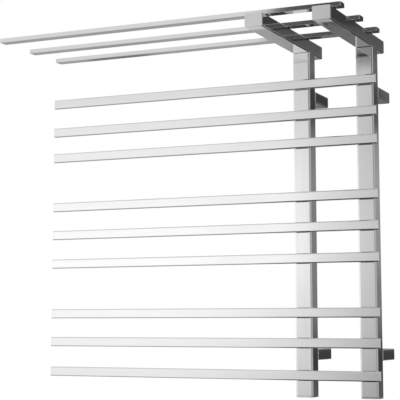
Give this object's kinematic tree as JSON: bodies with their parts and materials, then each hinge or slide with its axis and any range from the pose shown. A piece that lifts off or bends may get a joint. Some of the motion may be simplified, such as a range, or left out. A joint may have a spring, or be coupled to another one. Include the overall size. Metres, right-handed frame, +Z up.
{
  "type": "towel warmer rack",
  "caption": "Wall-hung towel warmer: flat heated rails cantilevered from box posts on stand-off brackets, with a slatted shelf on top.",
  "frame": {"origin": "centre of the upper left bracket's wall face", "axes": "+X along the rails towards the posts, +Y into the wall, +Z up; the rack's front faces -Y"},
  "size_m": [0.835, 0.413, 0.8189],
  "materials": {
    "mirror_steel": "mirror-polished stainless steel",
    "zinc_steel": "zinc-plated, satin",
    "black_oxide": "black oxide, dull",
    "black_plastic": "moulded, fine grain",
    "white_nylon": "moulded nylon",
    "silicone": "silicone sheath"
  },
  "bodies": {
    "root": {"left_post": "mirror_steel", "left_post_foot_cap": "mirror_steel", "left_post_top_plug": "zinc_steel", "left_shelf_arm": "mirror_steel", "left_shelf_arm_screw": "zinc_steel", "left_arm_front_cap": "mirror_steel", "left_arm_rear_cap": "mirror_steel", "right_post": "mirror_steel", "right_post_foot_cap": "mirror_steel", "right_post_top_plug": "zinc_steel", "right_shelf_arm": "mirror_steel", "right_shelf_arm_screw": "zinc_steel", "right_arm_front_cap": "mirror_steel", "right_arm_rear_cap": "mirror_steel", "heated_rail_1": "mirror_steel", "rail_heater_1": "silicone", "heated_rail_2": "mirror_steel", "rail_heater_2": "silicone", "heated_rail_3": "mirror_steel", "rail_heater_3": "silicone", "heated_rail_4": "mirror_steel", "rail_heater_4": "silicone", "heated_rail_5": "mirror_steel", "rail_heater_5": "silicone", "heated_rail_6": "mirror_steel", "rail_heater_6": "silicone", "heated_rail_7": "mirror_steel", "rail_heater_7": "silicone", "heated_rail_8": "mirror_steel", "rail_heater_8": "silicone", "heated_rail_9": "mirror_steel", "rail_heater_9": "silicone", "shelf_bar_1": "mirror_steel", "shelf_bar_2": "mirror_steel", "shelf_bar_3": "mirror_steel", "upper_left_bracket": "mirror_steel", "upper_left_wall_base": "zinc_steel", "upper_left_grub_screw": "black_oxide", "upper_right_bracket": "mirror_steel", "upper_right_wall_base": "zinc_steel", "upper_right_grub_screw": "black_oxide", "lower_left_bracket": "mirror_steel", "lower_left_wall_base": "zinc_steel", "lower_left_grub_screw": "black_oxide", "lower_right_bracket": "mirror_steel", "lower_right_wall_base": "zinc_steel", "lower_right_grub_screw": "black_oxide", "cable_gland": "black_plastic", "supply_lead": "black_plastic", "terminal_block": "white_nylon", "heater_harness": "silicone", "thermal_cut_out": "black_plastic", "earth_screw": "zinc_steel"}
  },
  "joints": []
}
